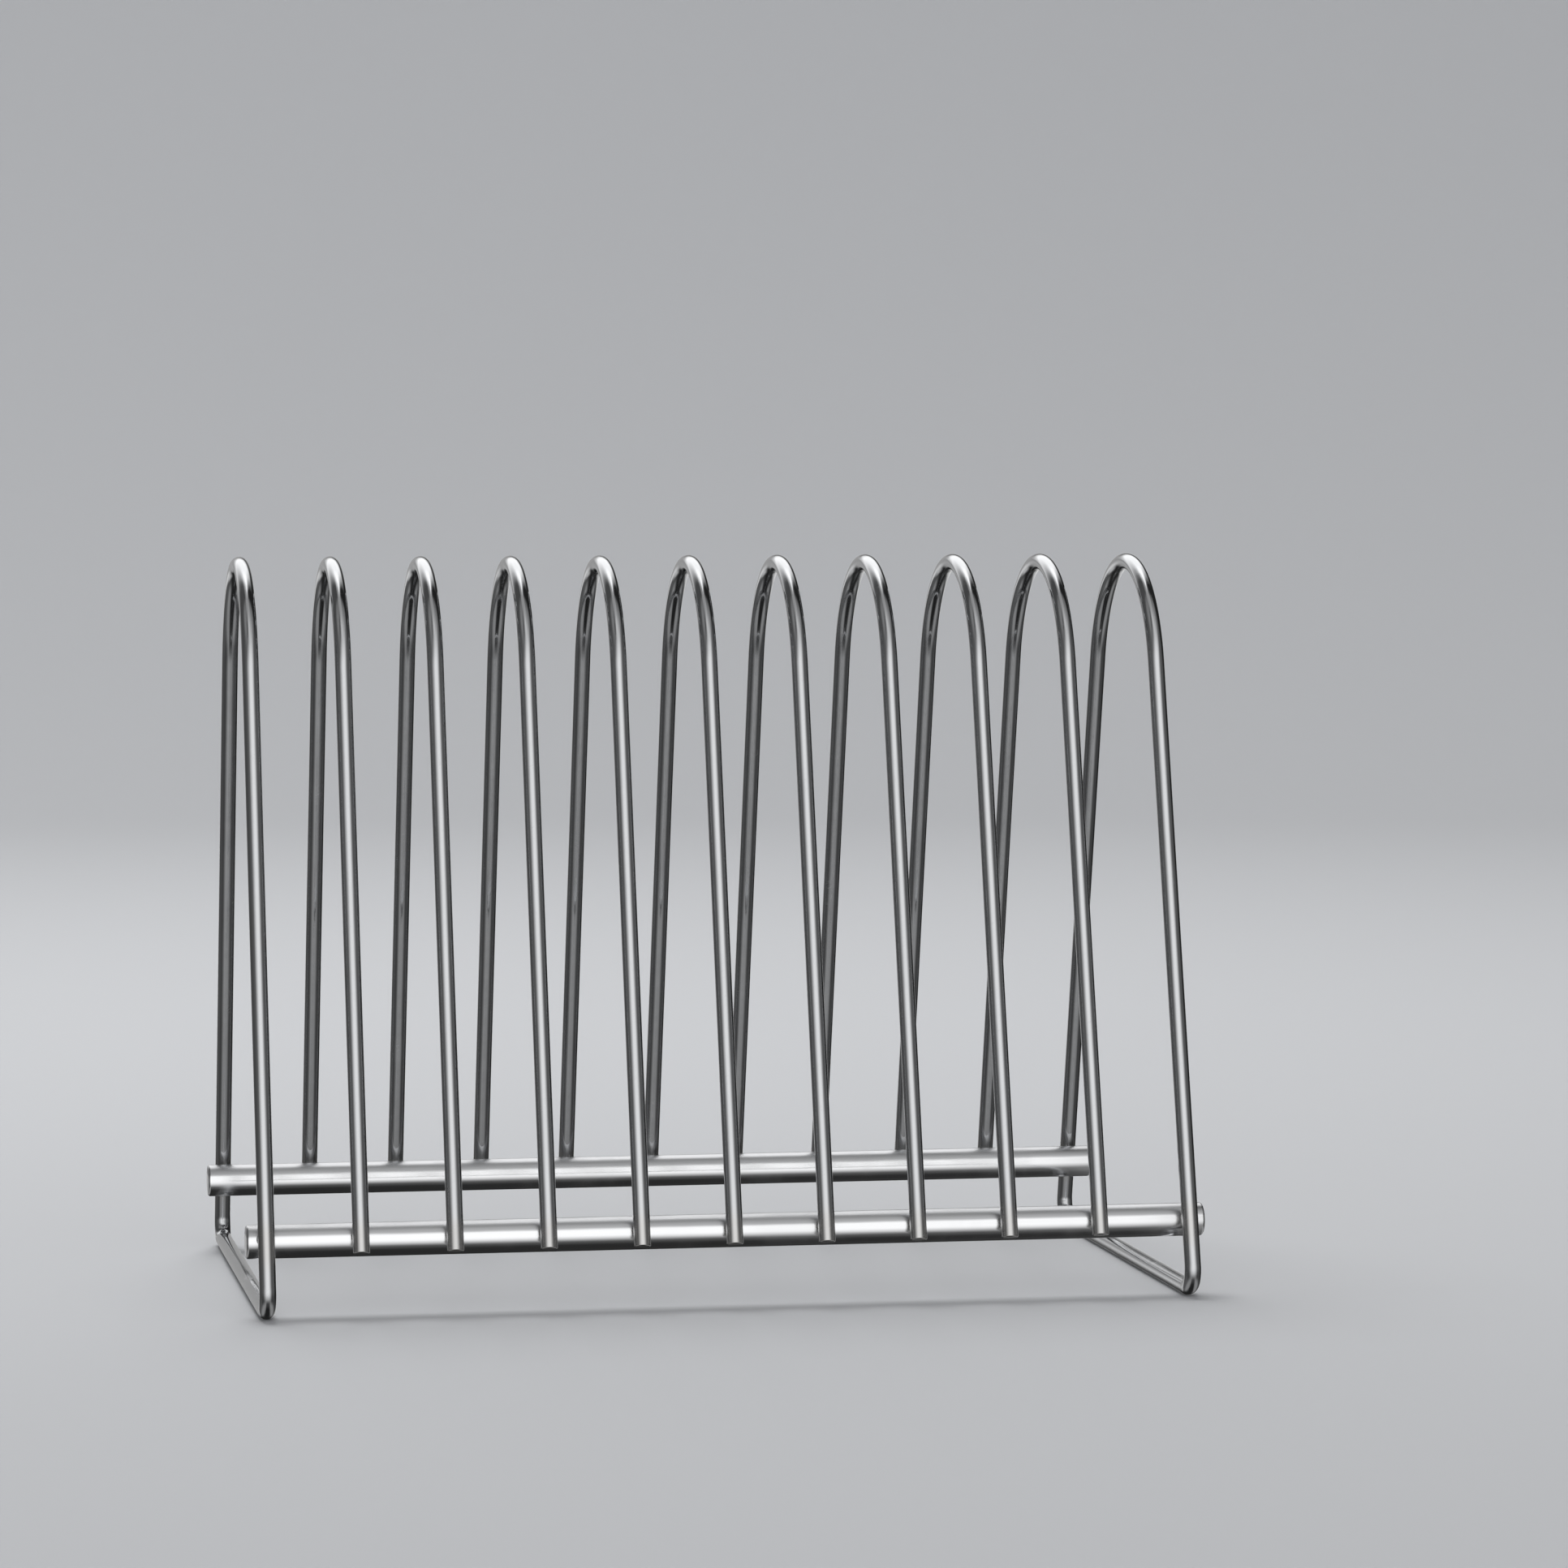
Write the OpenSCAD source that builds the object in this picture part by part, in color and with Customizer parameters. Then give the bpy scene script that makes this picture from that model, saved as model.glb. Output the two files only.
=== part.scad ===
// Wire storage rack: a row of bent-wire hoops welded to two round rails.
// The two end hoops are closed loops that stand on the floor. The hoops between them are dividers,
// cut off just below the rails. What is stored stands on both rails, between two neighbouring hoops.
// Millimetres. X runs along the rails, Y from front to back and Z up from the floor.
// The origin lies on the floor under the middle of the rack.

/* [Rack] */
// Number of dividers between the two end frames
divider_count = 9; // [1:1:15]
// Distance from one hoop to the next along the rails
hoop_pitch = 27.7; // [16:0.1:45]
// Height of the hoops above the floor
rack_height = 222; // [170:1:280]

/* [Wire hoops] */
// Diameter of the hoop wire
wire_d = 5; // [3:0.1:7]
// Radius of the arch at the top of a hoop, to the middle of the wire
arch_r = 41; // [30:0.5:60]
// Radius of the bend from a leg into the base bar, to the middle of the wire
foot_bend_r = 6; // [5:0.5:14]
// How far a divider's legs reach down past the middle of the rails
divider_tail = 3; // [1:0.1:10]
// Chamfer round a divider's cut leg ends
wire_chamfer = 0.4; // [0.1:0.1:1]

/* [Rails] */
// Diameter of the rails
rail_d = 10; // [6:0.5:14]
// Distance between the middles of the two rails
rail_spacing = 152; // [130:1:180]
// Height of the middle of the rails above the floor
rail_h = 22.2; // [15:0.1:40]
// Length of rail beyond the middle of each end frame's wire
rail_overhang = 5.5; // [4:0.5:30]
// Chamfer round the rail ends
rail_chamfer = 0.8; // [0.2:0.1:2]

/* [Welds] */
// Gap between a leg and its rail, filled by the weld
weld_gap = 0.25; // [0.1:0.05:0.6]
// How far a weld stays inside the sides of the wire
weld_inset = 0.3; // [0.1:0.05:0.8]

/* [Hidden] */
wire_r = wire_d / 2;
rail_r = rail_d / 2;
rail_y = rail_spacing / 2;

hoop_count = divider_count + 2;
first_hoop_x = -(hoop_count - 1) * hoop_pitch / 2;
rail_length = (hoop_count - 1) * hoop_pitch + 2 * rail_overhang;

// The arch. Its centre lies this high above the floor.
arch_h = rack_height - wire_r - arch_r;

// A leg is a straight line that touches the arch's circle and passes the rail at leg_to_rail from the
// rail's middle, so both distances fix its lean from the vertical.
leg_to_rail = rail_r + weld_gap + wire_r;
arch_to_rail_h = arch_h - rail_h;
arch_to_rail = sqrt(rail_y * rail_y + arch_to_rail_h * arch_to_rail_h);
lean = acos((arch_r - leg_to_rail) / arch_to_rail) - atan2(arch_to_rail_h, rail_y);

// A divider's legs are cut at this height, and a weld is a little narrower than the wire.
divider_end_h = rail_h - divider_tail;
weld_d = wire_d - 2 * weld_inset;

// The base bar lies on the floor. The foot bend's centre is one bend radius above the bar's middle and
// one bend radius inside the leg, and the wire turns there through twice half_turn.
bend_h = wire_r + foot_bend_r;
bend_y = leg_y(bend_h) - foot_bend_r / cos(lean);
half_turn = (90 + lean) / 2;

// Facets round a rail or a weld, round the wire and round a full turn of a bend
$fn = 48;
wire_facets = 32;
bend_facets = 96;

chrome = "#c9ccd0";
weld_grey = "#a9acb0";

// What is cut away is larger than the rack, and what is cut off passes its cut by a little.
cut_size = 3 * rack_height;
cut_over = 1;
cut_over_angle = 5;

// Distance of a leg's middle from the middle plane of the rack, at the height h
function leg_y(h) = (leg_to_rail + rail_y * cos(lean) - (h - rail_h) * sin(lean)) / cos(lean);

// Length of the straight leg from the arch down to the height h
function leg_length(h) = (arch_h + arch_r * sin(lean) - h) / cos(lean);

function hoop_x(index) = first_hoop_x + index * hoop_pitch;

function divider_name(k) = str("divider_", k < 10 ? "0" : "", k);

// Puts its children, drawn in X and Y, upright in the plane of a hoop: X to Y and Y to Z.
module upright() {
    rotate([90, 0, 90]) children();
}

// Keeps the half of its children where Y is above zero.
module upper_half() {
    difference() {
        children();
        translate([0, -cut_size / 2, 0])
            cube(cut_size, center = true);
    }
}

// Its children's upper half and the mirror image of it, which meet where Y is zero
module both_sides() {
    upper_half() children();
    mirror([0, 1, 0])
        upper_half() children();
}

// A round bar along Z from 0 to length, with a chamfer at its lower end and, if asked, its upper
module round_bar(d, length, chamfer, top_chamfer = 0) {
    rotate_extrude()
        polygon([
            [0, 0],
            [d / 2 - chamfer, 0],
            [d / 2, chamfer],
            [d / 2, length - top_chamfer],
            [d / 2 - top_chamfer, length],
            [0, length]
        ]);
}

// A bend in the hoop wire about the origin, from the X axis round towards Y
module wire_bend(bend_r, turn) {
    rotate_extrude(angle = turn, $fn = bend_facets)
        translate([bend_r, 0])
            circle(d = wire_d, $fn = wire_facets);
}

// A short core along Y, inside the wire. It bridges the seam between two lengths of wire that meet
// face to face, so that they make one solid.
module seam_core() {
    rotate([90, 0, 0])
        cylinder(d = wire_r, h = wire_r, center = true);
}

// A straight length of hoop wire that ends where a bend of the radius bend_r starts, and runs down
// from there along Y
module straight_wire(bend_r, length, chamfer = 0) {
    translate([bend_r, -length, 0])
        rotate([-90, 0, 0])
            round_bar(wire_d, length, chamfer);
    translate([bend_r, 0, 0])
        seam_core();
}

// Half of the arch and its leg, about the arch's centre with the leg along Y
module arch_and_leg(length, chamfer = 0) {
    wire_bend(arch_r, 90 - lean + cut_over_angle);
    straight_wire(arch_r, length, chamfer);
}

// A divider: the arch and two legs, cut off square
module divider() {
    color(chrome) {
        both_sides()
            translate([0, 0, arch_h])
                upright()
                    rotate([0, 0, lean])
                        arch_and_leg(leg_length(divider_end_h), wire_chamfer);
        translate([0, 0, arch_h + arch_r])
            seam_core();
    }
}

// Half of the foot bend, with its children standing on its end, about the bend's centre. The bend is
// halved by the X axis.
module on_half_foot_bend() {
    upper_half()
        rotate([0, 0, half_turn]) {
            mirror([0, 1, 0])
                wire_bend(foot_bend_r, half_turn + cut_over_angle);
            children();
        }
}

// The foot bend with its first child standing on its upper end and its second on its lower end, about
// the bend's centre. The X axis halves the bend.
module foot_bend() {
    on_half_foot_bend() children(0);
    mirror([0, 1, 0])
        on_half_foot_bend() children(1);
    translate([foot_bend_r, 0, 0])
        seam_core();
}

// An end frame: the arch, two legs, the foot bends and the base bar, all one closed wire
module end_frame() {
    length = leg_length(bend_h + foot_bend_r * sin(lean));
    color(chrome) {
        both_sides()
            translate([0, bend_y, bend_h])
                upright()
                    rotate([0, 0, lean - half_turn])
                        foot_bend() {
                            translate([foot_bend_r - arch_r, length, 0])
                                arch_and_leg(length);
                            mirror([0, 1, 0])
                                straight_wire(foot_bend_r, bend_y + cut_over);
                        }
        translate([0, 0, arch_h + arch_r])
            seam_core();
        translate([0, 0, wire_r])
            seam_core();
    }
}

// A rail along X in the middle plane, at the rails' height
module rail() {
    color(chrome)
        translate([-rail_length / 2, 0, rail_h])
            rotate([0, 90, 0])
                round_bar(rail_d, rail_length, rail_chamfer, rail_chamfer);
}

// The weld of one rear leg: a short plug square to both wires, hollowed by the rail on one side and by
// the leg on the other, so that it seats on both
module weld() {
    translate([0, rail_y, rail_h])
        rotate([lean, 0, 0])
            difference() {
                rotate([-90, 0, 0])
                    cylinder(d = weld_d, h = leg_to_rail);
                rotate([0, 90, 0])
                    cylinder(d = rail_d, h = weld_d + 2 * cut_over, center = true);
                translate([0, leg_to_rail, 0])
                    cylinder(d = wire_d, h = weld_d + 2 * cut_over, center = true);
            }
}

// The welds of the rear rail, one at each hoop
module rear_welds() {
    color(weld_grey)
        for (index = [0 : hoop_count - 1])
            translate([hoop_x(index), 0, 0])
                weld();
}

translate([hoop_x(0), 0, 0]) end_frame();  // end_frame_left
translate([hoop_x(hoop_count - 1), 0, 0]) end_frame();  // end_frame_right
translate([0, -rail_y, 0]) rail();  // front_rail
translate([0, rail_y, 0]) rail();  // rear_rail
mirror([0, 1, 0]) rear_welds();  // front_rail_welds
rear_welds();  // rear_rail_welds
for (k = [1 : divider_count])
    translate([hoop_x(k), 0, 0]) divider();
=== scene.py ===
import math
from dataclasses import dataclass

import bmesh
import bpy
from mathutils import Matrix, Vector


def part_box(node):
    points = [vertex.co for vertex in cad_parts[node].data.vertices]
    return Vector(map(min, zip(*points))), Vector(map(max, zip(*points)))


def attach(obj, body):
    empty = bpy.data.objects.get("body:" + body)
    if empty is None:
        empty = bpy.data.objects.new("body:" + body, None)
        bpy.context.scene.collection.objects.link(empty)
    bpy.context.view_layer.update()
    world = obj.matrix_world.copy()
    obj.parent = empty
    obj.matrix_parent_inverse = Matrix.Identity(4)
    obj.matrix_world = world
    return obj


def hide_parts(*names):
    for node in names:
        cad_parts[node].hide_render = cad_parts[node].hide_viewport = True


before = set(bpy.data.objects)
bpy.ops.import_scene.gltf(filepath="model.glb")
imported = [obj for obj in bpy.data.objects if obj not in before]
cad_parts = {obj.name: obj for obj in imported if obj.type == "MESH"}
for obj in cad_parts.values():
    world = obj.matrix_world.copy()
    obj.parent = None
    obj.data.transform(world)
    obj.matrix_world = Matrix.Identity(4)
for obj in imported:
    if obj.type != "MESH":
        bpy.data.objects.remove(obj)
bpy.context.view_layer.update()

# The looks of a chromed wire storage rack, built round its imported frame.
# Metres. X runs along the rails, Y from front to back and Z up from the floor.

MM = 0.001
DEG = math.pi / 180
X_AXIS = Vector((1, 0, 0))
Y_AXIS = Vector((0, 1, 0))
Z_AXIS = Vector((0, 0, 1))

# ---------------------------------------------------------------------------------------------
# Sizes. What the frame's boxes don't give repeats the rack's own driving dimensions.
# ---------------------------------------------------------------------------------------------

ARCH_R = 41 * MM
FOOT_BEND_R = 6 * MM
WELD_GAP = 0.25 * MM
DIVIDER_TAIL = 3 * MM


def middle_of(node):
    """The middle of a CAD node's box."""
    low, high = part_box(node)
    return (low + high) / 2


def size_of(node):
    """The size of a CAD node's box along X, Y and Z."""
    low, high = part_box(node)
    return high - low


WIRE_R = size_of("end_frame_left").x / 2
RACK_H = size_of("end_frame_left").z
RAIL_R = size_of("rear_rail").z / 2
RAIL_Y = middle_of("rear_rail").y
RAIL_H = middle_of("rear_rail").z
ARCH_H = RACK_H - WIRE_R - ARCH_R

END_FRAMES = ("end_frame_left", "end_frame_right")
DIVIDERS = tuple(sorted(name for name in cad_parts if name.startswith("divider_")))
HOOPS = (END_FRAMES[0], *DIVIDERS, END_FRAMES[1])
RAILS = ("front_rail", "rear_rail")

# A leg is a straight line that touches the arch's circle and passes the rail at LEG_TO_RAIL.
LEG_TO_RAIL = RAIL_R + WELD_GAP + WIRE_R
ARCH_TO_RAIL_H = ARCH_H - RAIL_H
ARCH_TO_RAIL = math.hypot(RAIL_Y, ARCH_TO_RAIL_H)
LEAN = math.acos((ARCH_R - LEG_TO_RAIL) / ARCH_TO_RAIL) - math.atan2(ARCH_TO_RAIL_H, RAIL_Y)

DIVIDER_END_H = RAIL_H - DIVIDER_TAIL
BEND_H = WIRE_R + FOOT_BEND_R


def leg_y(height):
    """How far a leg's middle stands from the rack's middle plane at this height."""
    at_rail = LEG_TO_RAIL + RAIL_Y * math.cos(LEAN)
    return (at_rail - (height - RAIL_H) * math.sin(LEAN)) / math.cos(LEAN)


def leg_length(height):
    """The straight leg's length from the arch down to this height."""
    return (ARCH_H + ARCH_R * math.sin(LEAN) - height) / math.cos(LEAN)


BEND_Y = leg_y(BEND_H) - FOOT_BEND_R / math.cos(LEAN)

# How far each bend turns the wire, and which way the wire climbs from the front leg's cut end
ARCH_TURN = math.pi - 2 * LEAN
FOOT_TURN = math.pi / 2 + LEAN
UP_THE_FRONT_LEG = math.pi / 2 - LEAN

# A bar's run map holds metres round it, from 0 up, and metres along it. The maps of the hoops, and those
# of the rails, start RUN_MAP_STEP apart, so that no two look alike. A cut end's part of the map has its
# middle CUT_MAP_SHIFT radii left of 0, so that all of it lies left of CUT_MAP_EDGE.
RUN_MAP = "run"
RUN_MAP_STEP = 1.0
CUT_MAP_SHIFT = 2
CUT_MAP_EDGE = -WIRE_R / 2

# How finely the wires, rails and welds are drawn
ROUND_STEPS = 40
ARCH_STEPS = 72
BEND_STEPS = 20
BAR_STEPS = 12
EDGE_STEPS = 5
WELD_STEPS = 48
BEAD_STEPS = 6

# ---------------------------------------------------------------------------------------------
# Shader maths
# ---------------------------------------------------------------------------------------------


class Signal:
    """A socket that varies over a surface or a sky. Sums and products of signals add Math nodes."""

    def __init__(self, nodes, socket):
        self.nodes = nodes
        self.socket = socket

    def maths(self, operation, *values):
        """The signal of a Math node with these values."""
        return self.nodes.node("ShaderNodeMath", {"operation": operation}, dict(enumerate(values)))

    def __add__(self, other):
        return self.maths("ADD", self, other)

    def __sub__(self, other):
        return self.maths("SUBTRACT", self, other)

    def __rsub__(self, other):
        return self.maths("SUBTRACT", other, self)

    def __mul__(self, other):
        return self.maths("MULTIPLY", self, other)

    def __truediv__(self, other):
        return self.maths("DIVIDE", self, other)

    __radd__ = __add__
    __rmul__ = __mul__

    def size(self):
        """How large it is, whatever its sign."""
        return self.maths("ABSOLUTE", self)

    def angle(self):
        """The angle in degrees that has this sine."""
        return self.maths("ARCSINE", self) / DEG

    def turn_from(self, ahead):
        """The turn in degrees from straight ahead to this far aside."""
        return self.maths("ARCTAN2", self, ahead) / DEG

    def most(self, other):
        """The larger of the two."""
        return self.maths("MAXIMUM", self, other)

    def below(self, limit):
        """1 below the limit and 0 above it."""
        return self.maths("LESS_THAN", self, limit)

    def rise(self, start, end):
        """0 before start, 1 past end, and smooth between them."""
        inputs = {"Value": self, "From Min": start, "From Max": end}
        return self.nodes.node("ShaderNodeMapRange", {"interpolation_type": "SMOOTHSTEP"}, inputs)

    def fall(self, start, end):
        """1 before start, 0 past end, and smooth between them."""
        return 1 - self.rise(start, end)

    def window(self, start, full, fade, end):
        """Rises from start to full, stays, and falls from fade to end."""
        return self.rise(start, full) * self.fall(fade, end)

    def part(self, axis):
        """One of X, Y and Z of a vector."""
        return self.nodes.node("ShaderNodeSeparateXYZ", None, {0: self}, axis)


# A Mix node's sockets for colours, which share their names with its sockets for numbers
MIX_SHARE = 0
MIX_FIRST = 6
MIX_SECOND = 7
MIX_RESULT = 2


class Nodes:
    """A node tree. Every node comes from node(), apart from the shader that the tree starts with."""

    def __init__(self, tree, shader):
        self.tree = tree
        self.shader = tree.nodes[shader]

    def node(self, kind, settings=None, inputs=None, output=0):
        """Adds a node, sets its settings and then its sockets, and gives the signal of one output.
        Sockets that share a name are given by number."""
        made = self.tree.nodes.new(kind)
        for setting, value in (settings or {}).items():
            setattr(made, setting, value)
        for socket, value in (inputs or {}).items():
            self.feed(made.inputs[socket], value)
        return Signal(self, made.outputs[output])

    def feed(self, socket, value):
        """Links a signal to a socket, or sets the socket to a plain value."""
        if isinstance(value, Signal):
            self.tree.links.new(value.socket, socket)
        else:
            socket.default_value = value

    def set(self, socket, value):
        """Gives a socket of the shader a signal, or a number or colour that is the same all over."""
        self.feed(self.shader.inputs[socket], value)


@dataclass
class Mark:
    """A pattern on a finish, with how much rougher it makes the metal and how far it stands out from it,
    in metres. What is cut in has a negative height."""

    pattern: Signal
    roughens: float = 0.0
    height: float = 0.0


class Finish(Nodes):
    """A material, with the places and the patterns that the finishes are made from."""

    def __init__(self, name):
        self.material = bpy.data.materials.new(name)
        self.material.use_nodes = True
        super().__init__(self.material.node_tree, "Principled BSDF")

    def place(self):
        """Where a point lies in the rack's frame, in metres."""
        return self.node("ShaderNodeTexCoord", output="Object")

    def run(self):
        """Metres round a bar and along it, which its map holds."""
        return self.node("ShaderNodeUVMap", {"uv_map": RUN_MAP})

    def stretched(self, vector, width, length):
        """The same places, drawn together along Y, so that a pattern this wide is this long."""
        inputs = {0: vector, 1: (1.0, width / length, 1.0)}
        return self.node("ShaderNodeVectorMath", {"operation": "MULTIPLY"}, inputs)

    def turned(self, vector, angle):
        """The same places, turned in the plane of X and Y."""
        inputs = {"Vector": vector, "Angle": angle}
        return self.node("ShaderNodeVectorRotate", {"rotation_type": "Z_AXIS"}, inputs)

    def noise(self, vector, size, detail=2.0, roughness=0.5):
        """Soft noise about 0.5 whose blotches are this many metres across."""
        inputs = {"Vector": vector, "Scale": 1 / size, "Detail": detail, "Roughness": roughness}
        return self.node("ShaderNodeTexNoise", None, inputs)

    def mix(self, share, first, second):
        """A colour between the two."""
        inputs = {MIX_SHARE: share, MIX_FIRST: first, MIX_SECOND: second}
        return self.node("ShaderNodeMix", {"data_type": "RGBA"}, inputs, MIX_RESULT)

    def relief(self, mark, under):
        """The bump of a mark, on top of the one under it, if there is one."""
        inputs = {"Height": mark.pattern, "Distance": mark.height}
        if under is not None:
            inputs["Normal"] = under
        return self.node("ShaderNodeBump", None, inputs)

    def set_marks(self, clean_roughness, *marks):
        """Sets the roughness and the relief, with each mark on top of those before it."""
        roughness = clean_roughness
        relief = None
        for mark in marks:
            if mark.roughens:
                roughness = roughness + mark.pattern * mark.roughens
            if mark.height:
                relief = self.relief(mark, relief)
        self.set("Roughness", roughness)
        self.set("Normal", relief)


# ---------------------------------------------------------------------------------------------
# Finishes. In a mix of colours, the number beside a mark is how much of the second colour it brings.
# ---------------------------------------------------------------------------------------------

CHROME = (0.58, 0.588, 0.60, 1)
CHROME_DULL = (0.48, 0.488, 0.50, 1)
CHROME_WARM = (0.56, 0.54, 0.51, 1)
RAIL_CHROME = (0.84, 0.845, 0.855, 1)
RAIL_DULL = (0.74, 0.745, 0.755, 1)
# The rail's top colour: darker for wear and also as painted shade, for the dim light that the top
# mirrors from above
RAIL_WORN_AND_SHADED = (0.54, 0.545, 0.555, 1)
FLOOR_GREY = (0.60, 0.61, 0.63, 1)

# How rough each is where it is clean
WIRE_ROUGHNESS = 0.05
RAIL_ROUGHNESS = 0.15
WELD_ROUGHNESS = 0.16
FLOOR_ROUGHNESS = 0.9

# A patch of scratches is this many scratches long.
PATCH_LENGTHS = 4

# Where a noise starts to show a mark, and where it shows it in full
HAIRLINE_NOISE = (0.72, 0.80)
PATCH_NOISE = (0.42, 0.62)
SMUDGE_NOISE = (0.50, 0.66)
SCUFF_NOISE = (0.50, 0.60)

# The patch at a weld is full out to this share of its reach.
WELD_FULL = 1 / 3

# The heights at which scuffs from the floor are full and end
SCUFF_H = (0.2 * MM, 1.0 * MM)

# The heights at which a rail's worn top, also painted shade, starts and is full, and how far its edge
# wanders up and down
WORN_AND_SHADED_H = (RAIL_H + 0.38 * RAIL_R, RAIL_H + 0.54 * RAIL_R)
WORN_AND_SHADED_WANDER = 0.1 * RAIL_R


def drawn_lines(finish, width, length):
    """Fine lines that run along a drawn wire. On a cut end they are the saw's."""
    stretched = finish.stretched(finish.run(), width, length)
    return finish.noise(stretched, width, detail=3.0, roughness=0.6)


def scratches(finish, slant, width, length):
    """Sparse hairline scratches, at this angle to the bar and in patches: 1 on one and 0 off it."""
    turned = finish.turned(finish.run(), slant)
    hairlines = finish.noise(finish.stretched(turned, width, length), width, detail=0.0)
    patches = finish.noise(turned, size=PATCH_LENGTHS * length)
    return hairlines.rise(*HAIRLINE_NOISE) * patches.rise(*PATCH_NOISE)


def smudges(finish, size):
    """Soft-edged prints left by hands."""
    return finish.noise(finish.place(), size, detail=4.0, roughness=0.6).rise(*SMUDGE_NOISE)


def cut_face(finish):
    """1 on a bar's cut ends, and 0 on its round."""
    return finish.run().part("X").below(CUT_MAP_EDGE)


def near_weld(finish, reach):
    """1 at the rails' height, where the welds are, fading to 0 at this reach from it."""
    from_rails = (finish.place().part("Z") - RAIL_H).size()
    return from_rails.fall(WELD_FULL * reach, reach)


def hoop_chrome():
    """Bright chrome on drawn wire: faint lengthwise lines, a slightly uneven plate, hairline scratches,
    smudges from hands, a duller patch at each weld, saw marks on the cut ends, and scuffs where the
    wire stands on the floor."""
    finish = Finish("hoop_chrome")
    place = finish.place()
    lines = drawn_lines(finish, width=0.25 * MM, length=40 * MM)
    plate = finish.noise(place, size=9 * MM)
    long_hairs = scratches(finish, slant=9 * DEG, width=0.10 * MM, length=6 * MM)
    short_hairs = scratches(finish, slant=-63 * DEG, width=0.08 * MM, length=3 * MM)
    hairs = long_hairs.most(short_hairs)
    smudge = smudges(finish, size=24 * MM)
    weld = near_weld(finish, reach=9 * MM)
    cut = cut_face(finish)
    rubs = finish.noise(place, size=1.2 * MM, detail=3.0, roughness=0.7)
    scuff = rubs.rise(*SCUFF_NOISE) * place.part("Z").fall(*SCUFF_H)

    clean = finish.mix(lines * 0.35, CHROME, CHROME_DULL)
    warm = finish.mix(weld * 0.45, clean, CHROME_WARM)
    finish.set("Base Color", finish.mix((scuff * 0.7).most(hairs * 0.3), warm, CHROME_DULL))
    finish.set("Metallic", 1.0)
    finish.set_marks(
        WIRE_ROUGHNESS,
        Mark(hairs, roughens=0.12, height=-0.003 * MM),
        Mark(lines, roughens=0.06, height=0.004 * MM),
        Mark(smudge, roughens=0.10),
        Mark(weld, roughens=0.10),
        Mark(scuff, roughens=0.25),
        Mark(cut, roughens=0.12),
        Mark(lines * cut, height=0.025 * MM),
        Mark(plate, height=0.05 * MM),
    )
    return finish.material


def rail_chrome():
    """Chrome on a polished bar: a little softer than the wire, with faint lengthwise lines, worn duller
    and rubbed across its top where things are slid in and out, and with saw marks on its ends. The top
    is also painted darker, as painted shade for the dim light that it mirrors from above."""
    finish = Finish("rail_chrome")
    place = finish.place()
    lines = drawn_lines(finish, width=0.4 * MM, length=60 * MM)
    plate = finish.noise(place, size=14 * MM)
    smudge = smudges(finish, size=30 * MM)
    # The rail's top: worn, and painted darker as painted shade for the dim light that it mirrors from
    # above
    worn_and_shaded_top = (place.part("Z") + plate * WORN_AND_SHADED_WANDER).rise(*WORN_AND_SHADED_H)
    rubbed = scratches(finish, slant=84 * DEG, width=0.15 * MM, length=6 * MM) * worn_and_shaded_top
    cut = cut_face(finish)

    bright = finish.mix((lines * 0.2).most(rubbed * 0.4), RAIL_CHROME, RAIL_DULL)
    # Painted shade: the rail's top is painted darker as well as worn
    finish.set("Base Color", finish.mix(worn_and_shaded_top, bright, RAIL_WORN_AND_SHADED))
    finish.set("Metallic", 1.0)
    finish.set_marks(
        RAIL_ROUGHNESS,
        Mark(rubbed, roughens=0.14, height=-0.003 * MM),
        Mark(lines, roughens=0.05, height=0.002 * MM),
        Mark(smudge, roughens=0.08),
        Mark(worn_and_shaded_top, roughens=0.12),
        Mark(cut, roughens=0.12),
        Mark(lines * cut, height=0.03 * MM),
        Mark(plate, height=0.02 * MM),
    )
    return finish.material


def weld_chrome():
    """Chrome over a weld bead: duller than the wire, grainy and tinted a little warm in patches."""
    finish = Finish("weld_chrome")
    place = finish.place()
    grain = finish.noise(place, size=0.5 * MM, detail=3.0, roughness=0.6)
    tint = finish.noise(place, size=2.5 * MM)
    finish.set("Base Color", finish.mix(tint, CHROME_WARM, CHROME_DULL))
    finish.set("Metallic", 1.0)
    finish.set_marks(WELD_ROUGHNESS, Mark(grain, roughens=0.22, height=0.06 * MM))
    return finish.material


def floor_paint():
    """Plain matt grey paint."""
    finish = Finish("floor_paint")
    finish.set("Base Color", FLOOR_GREY)
    finish.set("Roughness", FLOOR_ROUGHNESS)
    return finish.material


# ---------------------------------------------------------------------------------------------
# Mesh making
# ---------------------------------------------------------------------------------------------


def round_angles(steps):
    """Angles that go once round in equal steps."""
    return [2 * math.pi * k / steps for k in range(steps)]


@dataclass
class Station:
    """One section of a bar: its middle, the two directions that it lies in, its half sizes along
    them, and how far along the bar it is."""

    middle: Vector
    out: Vector
    side: Vector
    out_r: float
    side_r: float
    along: float

    def ring(self):
        """The points of the section's outline."""
        for angle in round_angles(ROUND_STEPS):
            outwards = self.out * (self.out_r * math.cos(angle))
            sideways = self.side * (self.side_r * math.sin(angle))
            yield self.middle + outwards + sideways


def sweep(mesh, stations, closed=False):
    """Skins a bar over its stations. A closed bar's last station is its first again, and an open bar
    gets flat ends. Its girth is taken halfway, where no edge is rounded off."""
    run = mesh.loops.layers.uv.new(RUN_MAP)
    girth = 2 * math.pi * stations[len(stations) // 2].out_r
    drawn = stations[:-1] if closed else stations
    rings = [[mesh.verts.new(point) for point in station.ring()] for station in drawn]
    if closed:
        rings.append(rings[0])
    for k in range(len(rings) - 1):
        skin(mesh, run, girth, rings[k], rings[k + 1], stations[k].along, stations[k + 1].along)
    if not closed:
        cut_off(mesh, run, rings[0][::-1], stations[0])
        cut_off(mesh, run, rings[-1], stations[-1])


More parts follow.
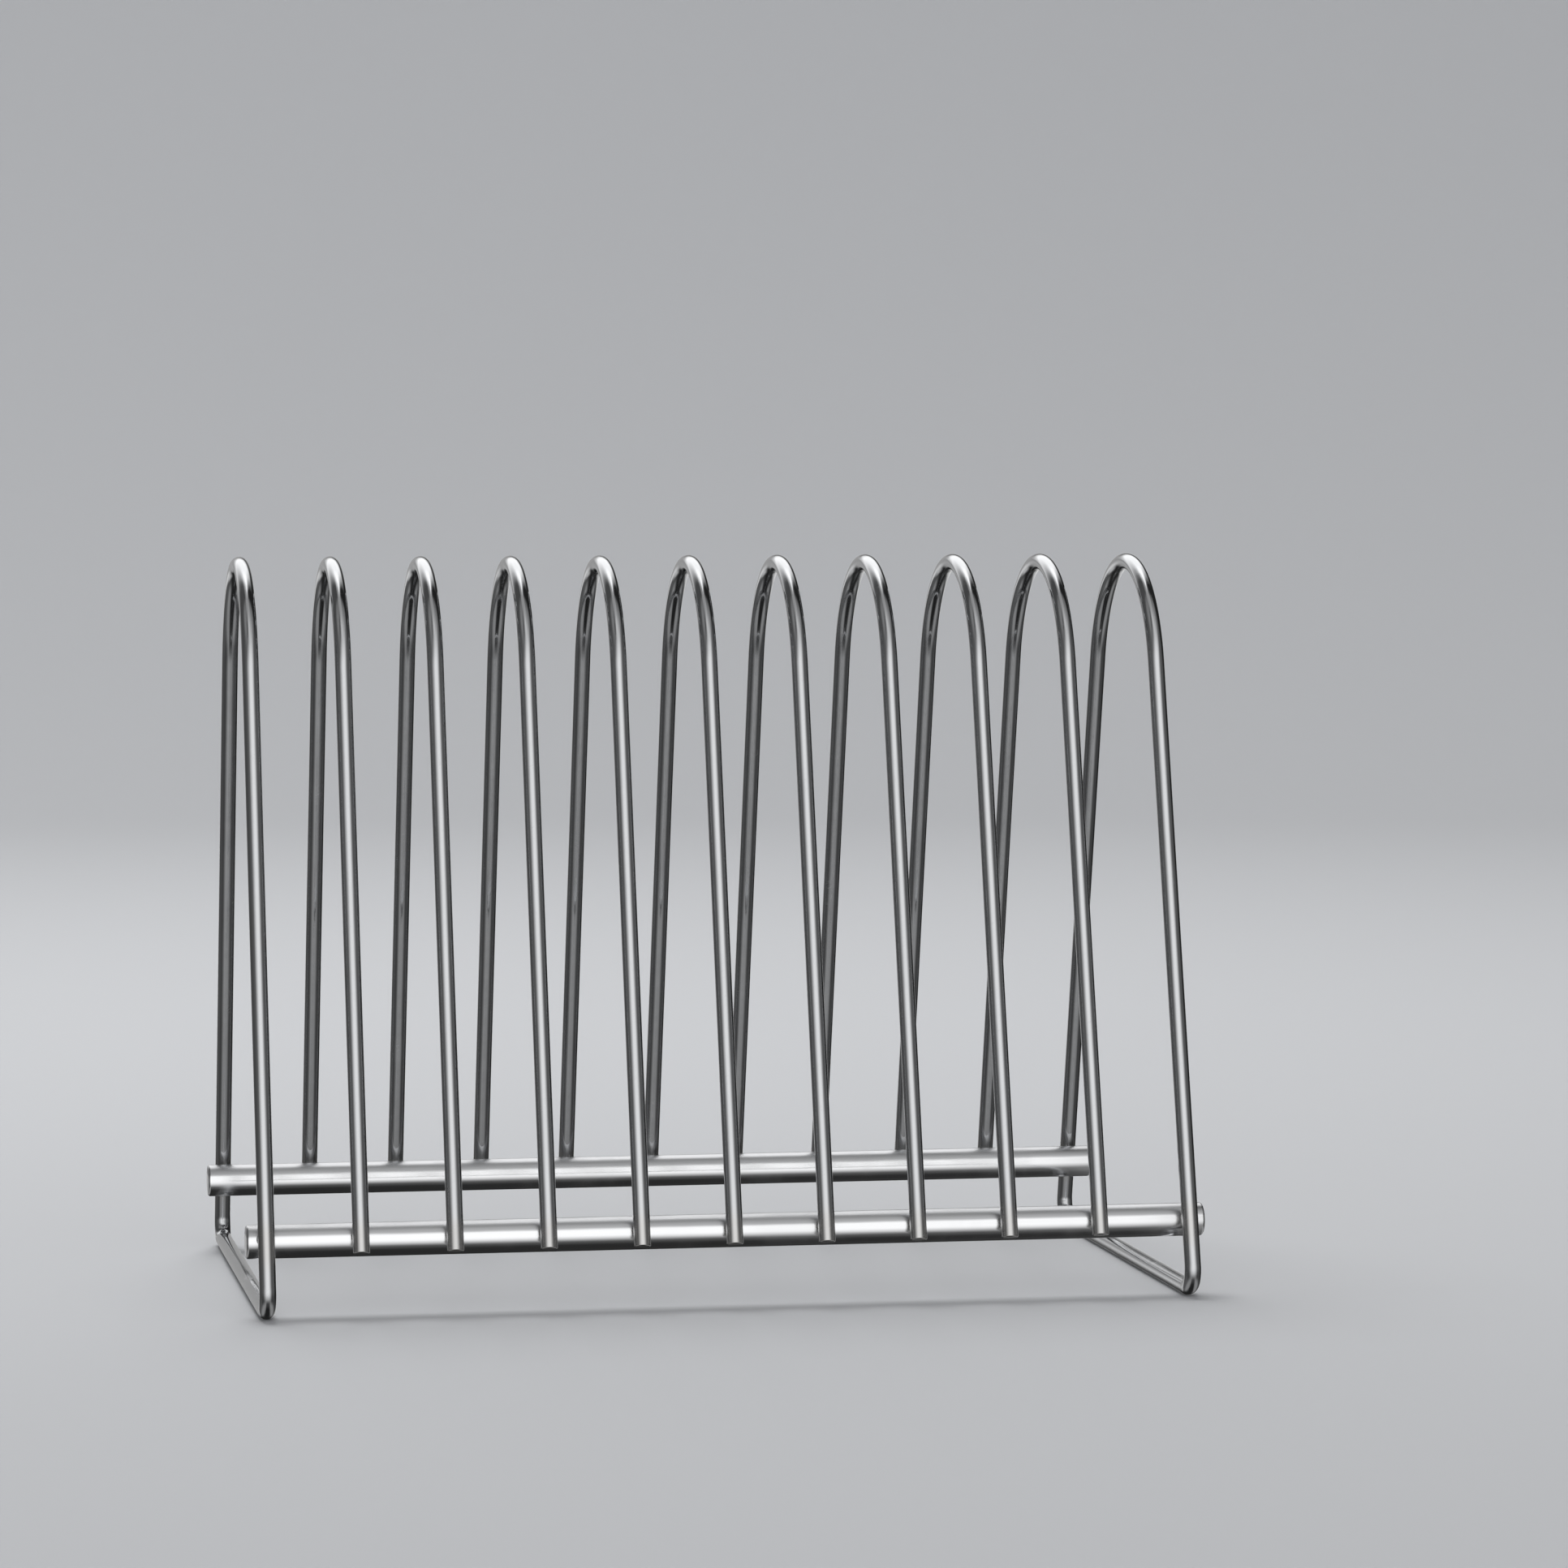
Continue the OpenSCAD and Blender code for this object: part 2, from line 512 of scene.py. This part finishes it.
def skin(mesh, run, girth, first, second, first_along, second_along):
    """Joins two rings with quads."""
    for k in range(ROUND_STEPS):
        after = (k + 1) % ROUND_STEPS
        face = mesh.faces.new((first[k], second[k], second[after], first[after]))
        face.smooth = True
        places = ((k, first_along), (k, second_along), (k + 1, second_along), (k + 1, first_along))
        for loop, (step, along) in zip(face.loops, places):
            loop[run].uv = (girth * step / ROUND_STEPS, along)


def cut_off(mesh, run, ring, station):
    """The flat face at a bar's end, with its own part of the run map."""
    face = mesh.faces.new(ring)
    face.smooth = False
    for loop in face.loops:
        offset = loop.vert.co - station.middle
        outwards = offset.dot(station.out) - CUT_MAP_SHIFT * station.out_r
        loop[run].uv = (outwards, station.along + offset.dot(station.side))


def rounded_ends(stations, edge_r):
    """The same bar with the edges of both cut ends rounded off."""
    head = rounded_edge(stations[0], stations[1], edge_r)
    tail = rounded_edge(stations[-1], stations[-2], edge_r)
    return head + stations[1:-1] + tail[::-1]


def rounded_edge(end, neighbour, edge_r):
    """The sections of one end's rounded edge, from the cut face inwards."""
    inwards = (neighbour.middle - end.middle).normalized()
    sections = []
    for k in range(EDGE_STEPS + 1):
        angle = math.pi / 2 * k / EDGE_STEPS
        depth = edge_r * (1 - math.cos(angle))
        cut = edge_r * (1 - math.sin(angle))
        middle = end.middle + inwards * depth
        sections.append(Station(middle, end.out, end.side, end.out_r - cut, end.side_r - cut, end.along))
    return sections


def make_object(name, mesh, material):
    """Turns a finished mesh into an object of the scene."""
    mesh.normal_update()
    data = bpy.data.meshes.new(name)
    mesh.to_mesh(data)
    mesh.free()
    data.materials.append(material)
    made = bpy.data.objects.new(name, data)
    bpy.context.scene.collection.objects.link(made)
    return made


def add_piece(name, mesh, material, node):
    """Makes a piece that stands for a CAD node and rides on the rack's one body."""
    piece = make_object(name, mesh, material)
    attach(piece, "root")
    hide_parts(node)


# ---------------------------------------------------------------------------------------------
# Hoops
# ---------------------------------------------------------------------------------------------

CUT_EDGE_R = 0.4 * MM

# The wire's radius shrinks by this share in the middle of a foot bend.
FOOT_SQUEEZE = 0.02


class BentWire:
    """A wire in a hoop's plane, made as a bender makes it: fed straight, then turned about a die."""

    def __init__(self, start, heading, along):
        self.place = start
        self.heading = heading
        self.along = along
        self.stations = []
        self.mark()

    def ahead(self):
        """The way that the wire runs."""
        return Vector((0, math.cos(self.heading), math.sin(self.heading)))

    def right(self):
        """The side that the wire bends to."""
        return Vector((0, math.sin(self.heading), -math.cos(self.heading)))

    def mark(self, squeeze=0.0):
        """A section here. A squeezed wire is thinner in the hoop's plane and as much wider across it."""
        thin = WIRE_R * (1 - squeeze)
        wide = WIRE_R * (1 + squeeze)
        self.stations.append(Station(self.place, self.right(), X_AXIS, thin, wide, self.along))

    def feed(self, length):
        """Straight on."""
        for _ in range(BAR_STEPS):
            self.place = self.place + self.ahead() * (length / BAR_STEPS)
            self.along += length / BAR_STEPS
            self.mark()

    def turn(self, radius, angle, steps, squeeze=0.0):
        """Bends to the right, about a die of this radius."""
        centre = self.place + self.right() * radius
        for k in range(1, steps + 1):
            self.heading -= angle / steps
            self.place = centre - self.right() * radius
            self.along += radius * angle / steps
            self.mark(squeeze * math.sin(math.pi * k / steps))

    def go_over(self, leg):
        """Up one leg, round the arch and down the other leg."""
        self.feed(leg)
        self.turn(ARCH_R, ARCH_TURN, ARCH_STEPS)
        self.feed(leg)


def end_frame_wire(x, along):
    """The closed loop, from the middle of the base bar forwards, up the front leg and round."""
    wire = BentWire(Vector((x, 0, WIRE_R)), math.pi, along)
    wire.feed(BEND_Y)
    wire.turn(FOOT_BEND_R, FOOT_TURN, BEND_STEPS, FOOT_SQUEEZE)
    wire.go_over(leg_length(BEND_H + FOOT_BEND_R * math.sin(LEAN)))
    wire.turn(FOOT_BEND_R, FOOT_TURN, BEND_STEPS, FOOT_SQUEEZE)
    wire.feed(BEND_Y)
    return wire.stations


def divider_wire(x, along):
    """An open hoop, from the front leg's cut end up and over to the rear leg's."""
    start = Vector((x, -leg_y(DIVIDER_END_H), DIVIDER_END_H))
    wire = BentWire(start, UP_THE_FRONT_LEG, along)
    wire.go_over(leg_length(DIVIDER_END_H))
    return rounded_ends(wire.stations, CUT_EDGE_R)


def make_hoops(material):
    """The wires of the end frames and the dividers."""
    for index, node in enumerate(HOOPS):
        mesh = bmesh.new()
        x = middle_of(node).x
        along = index * RUN_MAP_STEP
        if node in END_FRAMES:
            sweep(mesh, end_frame_wire(x, along), closed=True)
        else:
            sweep(mesh, divider_wire(x, along))
        add_piece(node + "_wire", mesh, material, node)


# ---------------------------------------------------------------------------------------------
# Rails
# ---------------------------------------------------------------------------------------------

RAIL_EDGE_R = 0.8 * MM


def rail_bar(middle, length, along):
    """A straight bar along X about its middle, where its run map reads along."""
    stations = []
    for k in range(BAR_STEPS + 1):
        x = length * (k / BAR_STEPS - 0.5)
        stations.append(Station(middle + X_AXIS * x, Z_AXIS, -Y_AXIS, RAIL_R, RAIL_R, along + x))
    return rounded_ends(stations, RAIL_EDGE_R)


def make_rails(material):
    """The two rails."""
    for index, node in enumerate(RAILS):
        mesh = bmesh.new()
        sweep(mesh, rail_bar(middle_of(node), size_of(node).x, index * RUN_MAP_STEP))
        add_piece(node + "_bar", mesh, material, node)


# ---------------------------------------------------------------------------------------------
# Welds
# ---------------------------------------------------------------------------------------------

# A bead's two feet reach BEAD_R from the middle of the crossing, and BEAD_SPREAD more along the bar
# that the foot lies on, but not past WIDEST_ON_LEG across the leg. Their rims lie BEAD_SINK below the
# skin. Between the feet the bead is drawn in towards NECK_R.
BEAD_R = 2.15 * MM
BEAD_SPREAD = 0.55 * MM
NECK_R = 1.95 * MM
BEAD_SINK = 0.05 * MM
WIDEST_ON_LEG = 0.93 * WIRE_R


def rail_skin(across):
    """How far the rail's skin is from its middle towards the leg, this far across it."""
    return math.sqrt(RAIL_R**2 - across**2)


def leg_skin(across):
    """How far the leg's skin is from the rail's middle, this far across the leg."""
    return LEG_TO_RAIL - math.sqrt(WIRE_R**2 - across**2)


def bead_section(along_rail, along_leg):
    """The bead's curve on one side of the crossing, from the rail's skin in to the neck and out to the
    leg's skin. Each point is its reach from the crossing's middle and its distance from the rail's."""
    rail_reach = BEAD_R + BEAD_SPREAD * abs(along_rail)
    leg_reach = BEAD_R + BEAD_SPREAD * abs(along_leg)
    if leg_reach * abs(along_rail) > WIDEST_ON_LEG:
        leg_reach = WIDEST_ON_LEG / abs(along_rail)
    rail_foot = Vector((rail_reach, rail_skin(rail_reach * along_leg) - BEAD_SINK))
    leg_foot = Vector((leg_reach, leg_skin(leg_reach * along_rail) + BEAD_SINK))
    neck = Vector((NECK_R, (rail_skin(NECK_R * along_leg) + leg_skin(NECK_R * along_rail)) / 2))
    shares = [s / BEAD_STEPS for s in range(BEAD_STEPS + 1)]
    return [rail_foot.lerp(neck, share).lerp(neck.lerp(leg_foot, share), share) for share in shares]


def bead_curves(x, side):
    """The bead's curves all round one crossing of a leg and a rail, in the rack's frame. The side is -1
    in front and 1 behind."""
    centre = Vector((x, side * RAIL_Y, RAIL_H))
    away = Vector((0, side * math.cos(LEAN), math.sin(LEAN)))
    up_the_leg = Vector((0, -side * math.sin(LEAN), math.cos(LEAN)))
    for angle in round_angles(WELD_STEPS):
        outwards = X_AXIS * math.cos(angle) + up_the_leg * math.sin(angle)
        section = bead_section(math.cos(angle), math.sin(angle))
        yield [centre + outwards * point.x + away * point.y for point in section]


def weld_bead(mesh, run, x, side):
    """The fillet round one crossing, skinned over its curves."""
    sections = [[mesh.verts.new(point) for point in curve] for curve in bead_curves(x, side)]
    for k, first in enumerate(sections):
        second = sections[(k + 1) % WELD_STEPS]
        for s in range(BEAD_STEPS):
            corners = (first[s], second[s], second[s + 1], first[s + 1])
            face = mesh.faces.new(corners if side > 0 else corners[::-1])
            face.smooth = True
            for loop in face.loops:
                loop[run].uv = (loop.vert.co.x, loop.vert.co.z)


def make_welds(material):
    """The weld beads of each rail, one at each hoop."""
    for side, rail in zip((-1, 1), RAILS):
        mesh = bmesh.new()
        run = mesh.loops.layers.uv.new(RUN_MAP)
        for hoop in HOOPS:
            weld_bead(mesh, run, middle_of(hoop).x, side)
        add_piece(rail + "_weld_beads", mesh, material, rail + "_welds")


# ---------------------------------------------------------------------------------------------
# Floor
# ---------------------------------------------------------------------------------------------

# The dish is flat out to FLOOR_FLAT_R and rises through a quarter circle of FLOOR_RISE_R.
FLOOR_FLAT_R = 2.4
FLOOR_RISE_R = 1.6
FLOOR_FLAT_STEPS = 4
FLOOR_RISE_STEPS = 24
FLOOR_TURN_STEPS = 96


def floor_profile():
    """The radius and height of each ring of the floor, from the middle outwards."""
    for k in range(1, FLOOR_FLAT_STEPS):
        yield FLOOR_FLAT_R * k / FLOOR_FLAT_STEPS, 0.0
    for k in range(FLOOR_RISE_STEPS + 1):
        angle = math.pi / 2 * k / FLOOR_RISE_STEPS
        yield FLOOR_FLAT_R + FLOOR_RISE_R * math.sin(angle), FLOOR_RISE_R * (1 - math.cos(angle))


def make_floor():
    """A plain pale dish: flat under and round the rack, and rising far away into a backdrop."""
    mesh = bmesh.new()
    centre = mesh.verts.new((0, 0, 0))
    turns = [Vector((math.cos(angle), math.sin(angle), 0)) for angle in round_angles(FLOOR_TURN_STEPS)]
    rings = []
    for radius, height in floor_profile():
        rings.append([mesh.verts.new(turn * radius + Z_AXIS * height) for turn in turns])
    for k in range(FLOOR_TURN_STEPS):
        after = (k + 1) % FLOOR_TURN_STEPS
        mesh.faces.new((centre, rings[0][k], rings[0][after]))
        for inner, outer in zip(rings, rings[1:]):
            mesh.faces.new((inner[k], outer[k], outer[after], inner[after]))
    for face in mesh.faces:
        face.smooth = True
    floor = make_object("floor", mesh, floor_paint())
    # The wires mirror the painted studio, whose floor is dark, and not this pale one. The dish casts no
    # shadow, so the studio's light reaches the floor through its far walls.
    floor.visible_glossy = False
    floor.visible_shadow = False


# ---------------------------------------------------------------------------------------------
# Light
# ---------------------------------------------------------------------------------------------

# SURROUND is there in every direction. Each other light of the painted studio has a strength and the
# directions that it fills. Four numbers are where it starts, is full, starts to fade and ends, and two
# are where it starts to change and where that ends. Turns and rises are in degrees. The front box leans
# right by FRONT_BOX_LEAN for each degree above FRONT_BOX_LEANS_FROM, and the back box climbs by
# BACK_BOX_SLANT for each degree to the right.
STUDIO_COLOUR = (1, 1, 1, 1)
SURROUND = 0.022

FRONT_BOX = 1.2
FRONT_BOX_TURN = (-68, -12, 7, 58)
FRONT_BOX_RISE = (-50, 0, 24, 88)
FRONT_BOX_LEANS_FROM = 22
FRONT_BOX_LEAN = 0.6

BACK_BOX = 1.5
BACK_BOX_TURN = (-50, -8, 20, 56)
BACK_BOX_RISE = (10, 25, 56, 90)
BACK_BOX_SLANT = 0.35

LOW_BACK = 0.6
LOW_BACK_TURN = (-30, -22, 24, 38)
LOW_BACK_GAP = (9, 20)
LOW_BACK_RISE = (-32, -20, -6, 6)

HORIZON = 0.36
HORIZON_TURN = (12, 30)
HORIZON_RISE = (-18, -8, 9, 15)

CEILING = 0.40
CEILING_ASIDE = (0.10, 0.35)
CEILING_RISE = (46, 66)

SIDES = 0.12
SIDES_TURN = (30, 52, 76, 108)
SIDES_RISE = (-30, 0, 50, 85)

LEFT_BACK = 0.07
LEFT_BACK_TURN = (-165, -145, -105, -85)
LEFT_BACK_RISE = (-45, -20, 60, 85)

HIGH_SIDES = 0.16
HIGH_SIDES_TURN = (40, 60, 88, 108)
HIGH_SIDES_RISE = (30, 50, 70, 88)

GROUND = 0.05
GROUND_TURN = (10, 38)
GROUND_RISE = (-72, -50, -28, -10)

LOW_SIDES = 0.28
LOW_SIDES_ASIDE = (0.24, 0.45)
LOW_SIDES_RISE = (-50, -28)

FILL_WATTS = 27
FILL_SIDE = 1.1
FILL_PLACE = Vector((-0.3, 0.9, 2.2))


def make_studio():
    """The light that the chrome mirrors, painted on the sky: a broad softbox in front that leans to the
    right higher up, a brighter one high up behind, a low one either side of it, a dim band along the
    horizon behind, a strip of ceiling from front to back, and dim light at the sides, on the left behind
    and low down. Turns are degrees from the front or the back to the right, rises are degrees above the
    horizon, and aside is how far a direction points to either side, from 0 to 1."""
    world = bpy.data.worlds.new("studio")
    world.use_nodes = True
    bpy.context.scene.world = world
    studio = Nodes(world.node_tree, "Background")
    way = studio.node("ShaderNodeTexCoord", output="Generated")
    right = way.part("X")
    back = way.part("Y")
    turn = right.turn_from(back * -1)
    back_turn = right.turn_from(back)
    rise = way.part("Z").angle()
    off_front = turn.size()
    off_back = back_turn.size()
    aside = right.size()

    leaning_turn = turn - (rise - FRONT_BOX_LEANS_FROM).most(0) * FRONT_BOX_LEAN
    slanting_rise = rise - back_turn * BACK_BOX_SLANT
    glow = SURROUND + FRONT_BOX * leaning_turn.window(*FRONT_BOX_TURN) * rise.window(*FRONT_BOX_RISE)
    glow += BACK_BOX * back_turn.window(*BACK_BOX_TURN) * slanting_rise.window(*BACK_BOX_RISE)
    beside_back = back_turn.window(*LOW_BACK_TURN) * off_back.rise(*LOW_BACK_GAP)
    glow += LOW_BACK * beside_back * rise.window(*LOW_BACK_RISE)
    glow += HORIZON * off_back.fall(*HORIZON_TURN) * rise.window(*HORIZON_RISE)
    glow += CEILING * aside.fall(*CEILING_ASIDE) * rise.rise(*CEILING_RISE)
    glow += SIDES * off_front.window(*SIDES_TURN) * rise.window(*SIDES_RISE)
    glow += LEFT_BACK * turn.window(*LEFT_BACK_TURN) * rise.window(*LEFT_BACK_RISE)
    glow += HIGH_SIDES * off_front.window(*HIGH_SIDES_TURN) * rise.window(*HIGH_SIDES_RISE)
    glow += GROUND * off_back.rise(*GROUND_TURN) * rise.window(*GROUND_RISE)
    glow += LOW_SIDES * aside.rise(*LOW_SIDES_ASIDE) * rise.fall(*LOW_SIDES_RISE)
    studio.set("Strength", glow)
    studio.set("Color", STUDIO_COLOUR)


def make_fill():
    """A soft light overhead that lights the floor and casts the shadow. The chrome doesn't mirror it."""
    data = bpy.data.lights.new("fill_light", "AREA")
    data.size = FILL_SIDE
    data.energy = FILL_WATTS
    fill = bpy.data.objects.new("fill_light", data)
    fill.location = FILL_PLACE
    fill.visible_camera = False
    fill.visible_glossy = False
    bpy.context.scene.collection.objects.link(fill)


# ---------------------------------------------------------------------------------------------
# Camera
# ---------------------------------------------------------------------------------------------

# Fitted to the lines of the rack in the photograph. The focal length is in the photograph's pixels, and
# the sensor's width is in millimetres.
CAMERA_PLACE = Vector((-275.7, -1753.4, 243.4)) * MM
CAMERA_YAW = 9.88 * DEG
CAMERA_PITCH = 2.975 * DEG
CAMERA_ROLL = -0.1124 * DEG
SENSOR = 36.0
PHOTO_SIDE = 1932
FOCAL_PIXELS = 7082


def make_camera():
    """The photograph's view: turned a little to the right, and looking a little down. A camera looks
    straight down until it is turned, so the pitch is taken from a right angle."""
    data = bpy.data.cameras.new("camera")
    data.sensor_width = SENSOR
    data.lens = FOCAL_PIXELS / PHOTO_SIDE * SENSOR
    yaw = Matrix.Rotation(-CAMERA_YAW, 4, "Z")
    pitch = Matrix.Rotation(math.pi / 2 - CAMERA_PITCH, 4, "X")
    roll = Matrix.Rotation(CAMERA_ROLL, 4, "Z")
    camera = bpy.data.objects.new("camera", data)
    camera.matrix_world = Matrix.Translation(CAMERA_PLACE) @ yaw @ pitch @ roll
    bpy.context.scene.collection.objects.link(camera)
    bpy.context.scene.camera = camera


make_hoops(hoop_chrome())
make_rails(rail_chrome())
make_welds(weld_chrome())
make_floor()
make_studio()
make_fill()
make_camera()
bpy.context.scene.view_settings.view_transform = "Standard"
